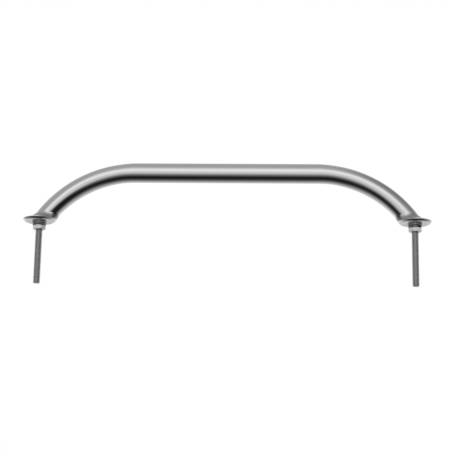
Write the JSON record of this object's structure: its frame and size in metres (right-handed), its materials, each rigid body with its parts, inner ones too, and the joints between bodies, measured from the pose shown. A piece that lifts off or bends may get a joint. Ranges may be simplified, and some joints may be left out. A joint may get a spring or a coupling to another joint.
{
  "type": "grab rail",
  "caption": "Bent tubular handrail with round domed flanges welded to its ends and a threaded stud under each flange, held with nut and washers.",
  "frame": {"origin": "midway between the two studs, on the deck plane that both flanges rest on", "axes": "+X along the rail, +Z away from the deck towards the grip, +Y across the rail"},
  "size_m": [0.4569, 0.0378, 0.1382],
  "materials": {
    "polished_stainless": "mirror-polished 316 stainless steel",
    "weld_stainless": "TIG weld dressed and buffed to a satin polish",
    "stud_stainless": "rolled-thread stainless rod, dull grey",
    "plate_stainless": "pressed stainless sheet, satin",
    "fastener_stainless": "plain machined stainless, satin"
  },
  "bodies": {
    "rail": {"rail_tube": "polished_stainless", "flange_cover_left": "polished_stainless", "base_plate_left": "plate_stainless", "tube_weld_left": "weld_stainless", "stud_left": "stud_stainless", "flange_cover_right": "polished_stainless", "base_plate_right": "plate_stainless", "tube_weld_right": "weld_stainless", "stud_right": "stud_stainless"},
    "washers_left": {"flat_washer_left": "fastener_stainless", "spring_washer_left": "fastener_stainless"},
    "nut_left": {"hex_nut_left": "fastener_stainless"},
    "washers_right": {"flat_washer_right": "fastener_stainless", "spring_washer_right": "fastener_stainless"},
    "nut_right": {"hex_nut_right": "fastener_stainless"}
  },
  "joints": [
    {"name": "washers_left_slide", "type": "slide", "parent": "rail", "child": "washers_left", "axis": [0, 0, -1], "range_m": [0, 0.0594]},
    {"name": "nut_left_turn", "type": "hinge", "parent": "washers_left", "child": "nut_left", "pos_m": [-0.20955, 0, 0], "axis": [0, 0, -1], "range_deg": [0, 15164]},
    {"name": "washers_right_slide", "type": "slide", "parent": "rail", "child": "washers_right", "axis": [0, 0, -1], "range_m": [0, 0.0594]},
    {"name": "nut_right_turn", "type": "hinge", "parent": "washers_right", "child": "nut_right", "pos_m": [0.20955, 0, 0], "axis": [0, 0, -1], "range_deg": [0, 15164]}
  ],
  "couplings": [
    {"joint": "nut_left_turn", "follows": "washers_left_slide", "rad_per_m": 4452.7},
    {"joint": "nut_right_turn", "follows": "washers_right_slide", "rad_per_m": 4452.7}
  ]
}
